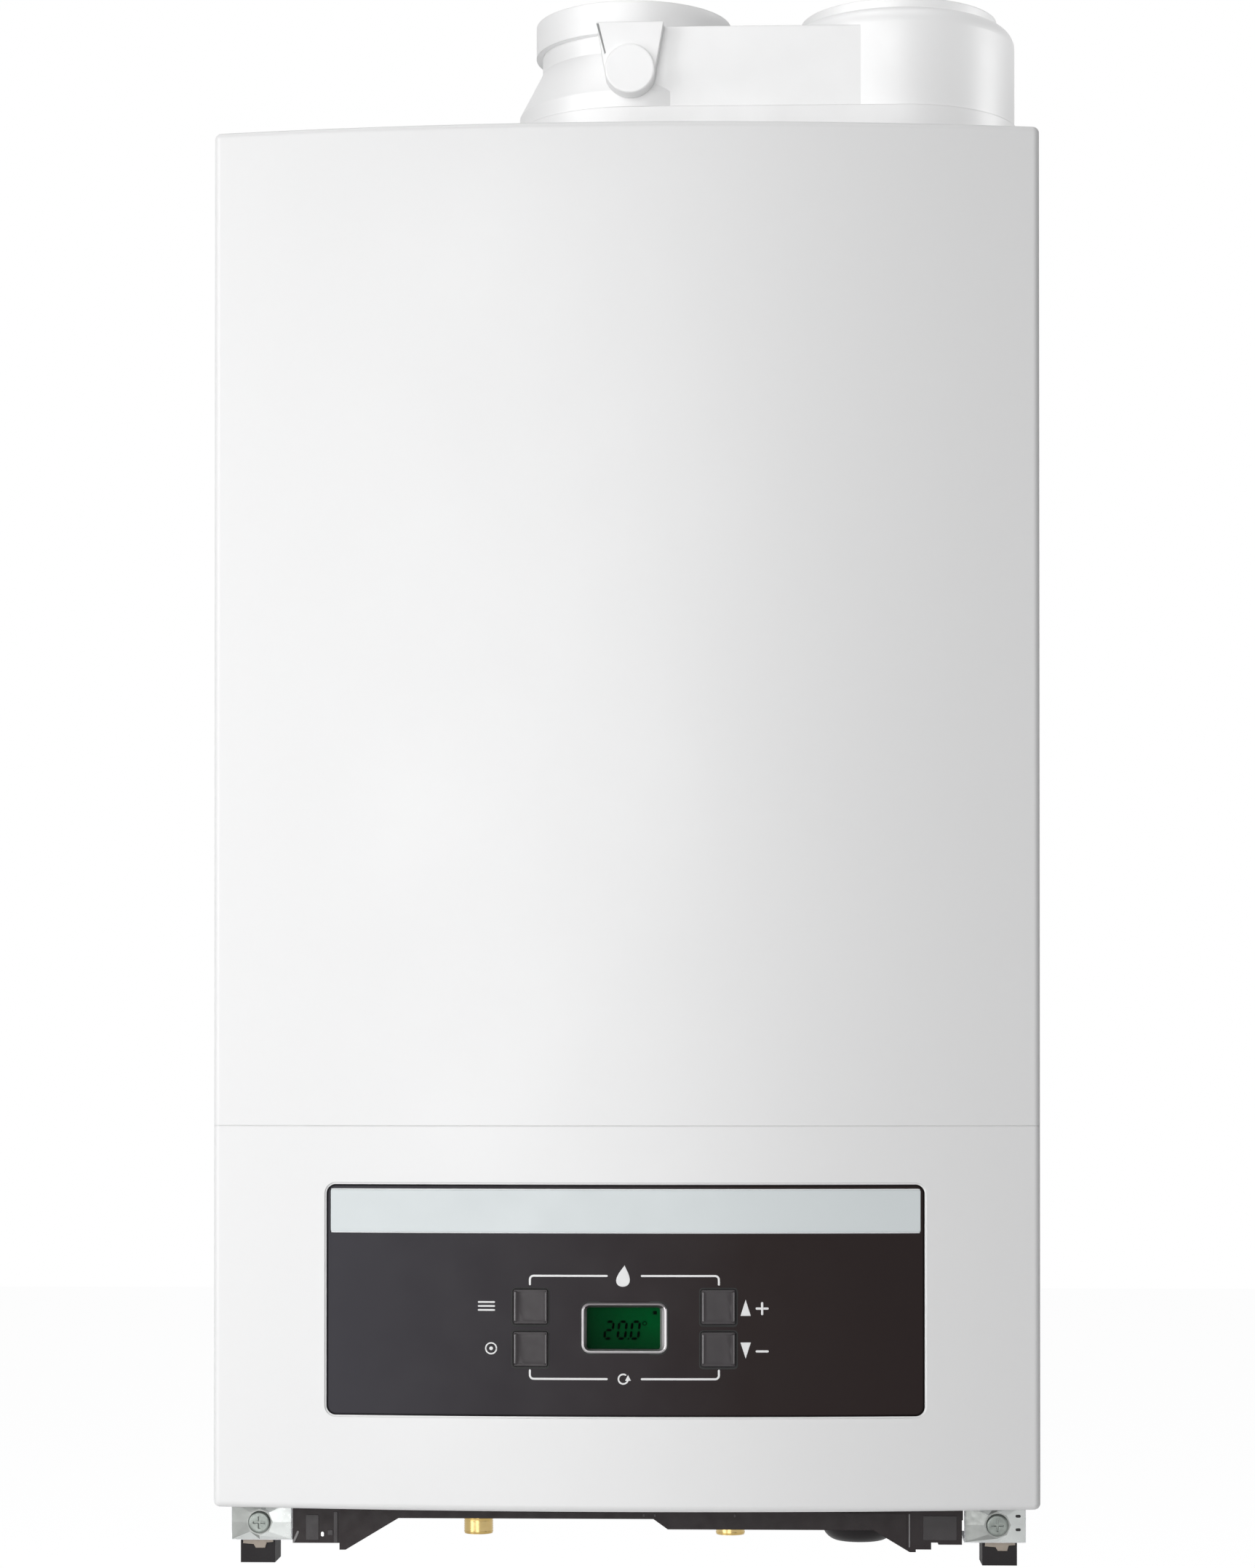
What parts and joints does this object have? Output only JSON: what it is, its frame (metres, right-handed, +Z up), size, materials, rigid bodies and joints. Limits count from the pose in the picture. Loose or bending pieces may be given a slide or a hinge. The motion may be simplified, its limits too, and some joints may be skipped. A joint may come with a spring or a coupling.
{
  "type": "combi boiler",
  "caption": "Wall-hung combi boiler with bowed front cover, control panel window, parallel flue and air sockets and pipe connections below.",
  "frame": {"origin": "on the wall plane, on the boiler's centre line, level with the lower edge of the case; the back face of the lower wall channel lies there", "axes": "+X to the viewer's right, +Y into the wall, +Z up; the front faces -Y"},
  "size_m": [0.4, 0.3, 0.79],
  "materials": {
    "white_enamel": "semi-gloss powder coat",
    "galvanised_sheet": "zinc coated, dull",
    "zinc_screw": "bright zinc",
    "black_plastic": "moulded, fine grain",
    "grey_box_plastic": "moulded",
    "fascia_plastic": "fine satin",
    "key_plastic": "satin",
    "strip_film": "satin",
    "silver_trim": "satin silver",
    "clear_window": "clear",
    "lcd_green": "backlit",
    "board_green": "solder mask",
    "steel_pin": "ground",
    "white_plastic": "moulded, satin",
    "rubber_black": "matt",
    "cap_plastic": "moulded, satin",
    "flue_steel": "drawn",
    "sump_plastic": "moulded",
    "cast_aluminium": "as cast",
    "ceramic_electrode": "glazed",
    "burner_steel": "perforated",
    "motor_plastic": "moulded",
    "wheel_plastic": "moulded",
    "copper": "drawn copper",
    "vessel_red": "painted",
    "brass_fitting": "machined",
    "actuator_grey": "moulded",
    "plate_steel": "brazed",
    "knob_red": "moulded",
    "pump_iron": "painted",
    "pump_red": "painted",
    "trap_grey": "moulded",
    "foot_rubber": "matt"
  },
  "bodies": {
    "boiler": {"wall_bracket": "galvanised_sheet", "back_frame": "galvanised_sheet", "side_panel_left": "white_enamel", "side_panel_right": "white_enamel", "top_panel": "white_enamel", "chamber_floor": "galvanised_sheet", "chamber_seals": "rubber_black", "corner_bracket_left": "galvanised_sheet", "corner_bracket_right": "galvanised_sheet", "case_screws": "zinc_screw", "corner_feet": "foot_rubber", "bottom_tray": "black_plastic", "flue_adapter": "white_plastic", "adapter_seals": "rubber_black", "flue_duct": "flue_steel", "condensate_sump": "sump_plastic", "heat_exchanger": "cast_aluminium", "ignition_electrodes": "ceramic_electrode", "burner": "burner_steel", "burner_hood": "cast_aluminium", "fan_housing": "cast_aluminium", "fan_motor": "motor_plastic", "venturi_mixer": "cast_aluminium", "gas_valve": "cast_aluminium", "gas_pipes": "copper", "expansion_vessel": "vessel_red", "rubber_hoses": "rubber_black", "heating_pipes": "copper", "air_vent": "brass_fitting", "connection_plate": "galvanised_sheet", "connection_locknuts": "brass_fitting", "flow_manifold": "brass_fitting", "diverter_actuator": "actuator_grey", "return_manifold": "brass_fitting", "plate_heat_exchanger": "plate_steel", "safety_valve": "brass_fitting", "pump_housing": "pump_iron", "pump_motor": "pump_red", "siphon_body": "trap_grey"},
    "front_cover": {"front_cover_upper": "white_enamel", "front_cover_lower": "white_enamel"},
    "control_box": {"control_box_rear": "grey_box_plastic", "control_fascia": "fascia_plastic", "fascia_strip": "strip_film", "display_bezel": "silver_trim", "display_lens": "clear_window", "lcd_panel": "lcd_green", "circuit_boards": "board_green", "hinge_pins": "steel_pin"},
    "menu_key": {"button_menu": "key_plastic"},
    "info_key": {"button_info": "key_plastic"},
    "plus_key": {"button_plus": "key_plastic"},
    "minus_key": {"button_minus": "key_plastic"},
    "fan_rotor": {"fan_impeller": "wheel_plastic"},
    "pump_rotor": {"pump_impeller": "wheel_plastic"},
    "turbine_rotor": {"flow_turbine": "wheel_plastic"},
    "diverter": {"diverter_stem": "plate_steel"},
    "relief_knob": {"safety_valve_knob": "knob_red"},
    "test_cap": {"test_point_cap": "cap_plastic"},
    "trap_cup": {"siphon_cup": "trap_grey"}
  },
  "joints": [
    {"name": "front_cover_pull", "type": "slide", "parent": "boiler", "child": "front_cover", "axis": [0, -1, 0], "range_m": [0, 0.45]},
    {"name": "control_box_fold", "type": "hinge", "parent": "boiler", "child": "control_box", "pos_m": [0, -0.25, 0.025], "axis": [1, 0, 0], "range_deg": [0, 80]},
    {"name": "menu_key_press", "type": "slide", "parent": "control_box", "child": "menu_key", "axis": [0, 1, 0], "range_m": [0, 0.0015], "stiffness_N_per_m": 600},
    {"name": "info_key_press", "type": "slide", "parent": "control_box", "child": "info_key", "axis": [0, 1, 0], "range_m": [0, 0.0015], "stiffness_N_per_m": 600},
    {"name": "plus_key_press", "type": "slide", "parent": "control_box", "child": "plus_key", "axis": [0, 1, 0], "range_m": [0, 0.0015], "stiffness_N_per_m": 600},
    {"name": "minus_key_press", "type": "slide", "parent": "control_box", "child": "minus_key", "axis": [0, 1, 0], "range_m": [0, 0.0015], "stiffness_N_per_m": 600},
    {"name": "fan_spin", "type": "hinge", "parent": "boiler", "child": "fan_rotor", "pos_m": [0.13, -0.21, 0.585], "axis": [0, 1, 0], "continuous": true},
    {"name": "pump_spin", "type": "hinge", "parent": "boiler", "child": "pump_rotor", "pos_m": [0.15, -0.11, 0.08], "axis": [0, 1, 0], "continuous": true},
    {"name": "turbine_spin", "type": "hinge", "parent": "boiler", "child": "turbine_rotor", "pos_m": [0.05, -0.11, 0.053], "axis": [0, 0, 1], "continuous": true},
    {"name": "diverter_stroke", "type": "slide", "parent": "boiler", "child": "diverter", "axis": [0, 0, -1], "range_m": [0, 0.008]},
    {"name": "relief_turn", "type": "hinge", "parent": "boiler", "child": "relief_knob", "pos_m": [-0.188, -0.11, 0.062], "axis": [-1, 0, 0], "range_deg": [0, 90]},
    {"name": "test_cap_pull", "type": "slide", "parent": "boiler", "child": "test_cap", "axis": [0, -1, 0], "range_m": [0, 0.016]},
    {"name": "trap_cup_drop", "type": "slide", "parent": "boiler", "child": "trap_cup", "axis": [0, 0, -1], "range_m": [0, 0.03]}
  ],
  "couplings": [
    {"joint": "control_box_fold", "follows": "front_cover_pull", "rad_per_m": 3.1}
  ]
}
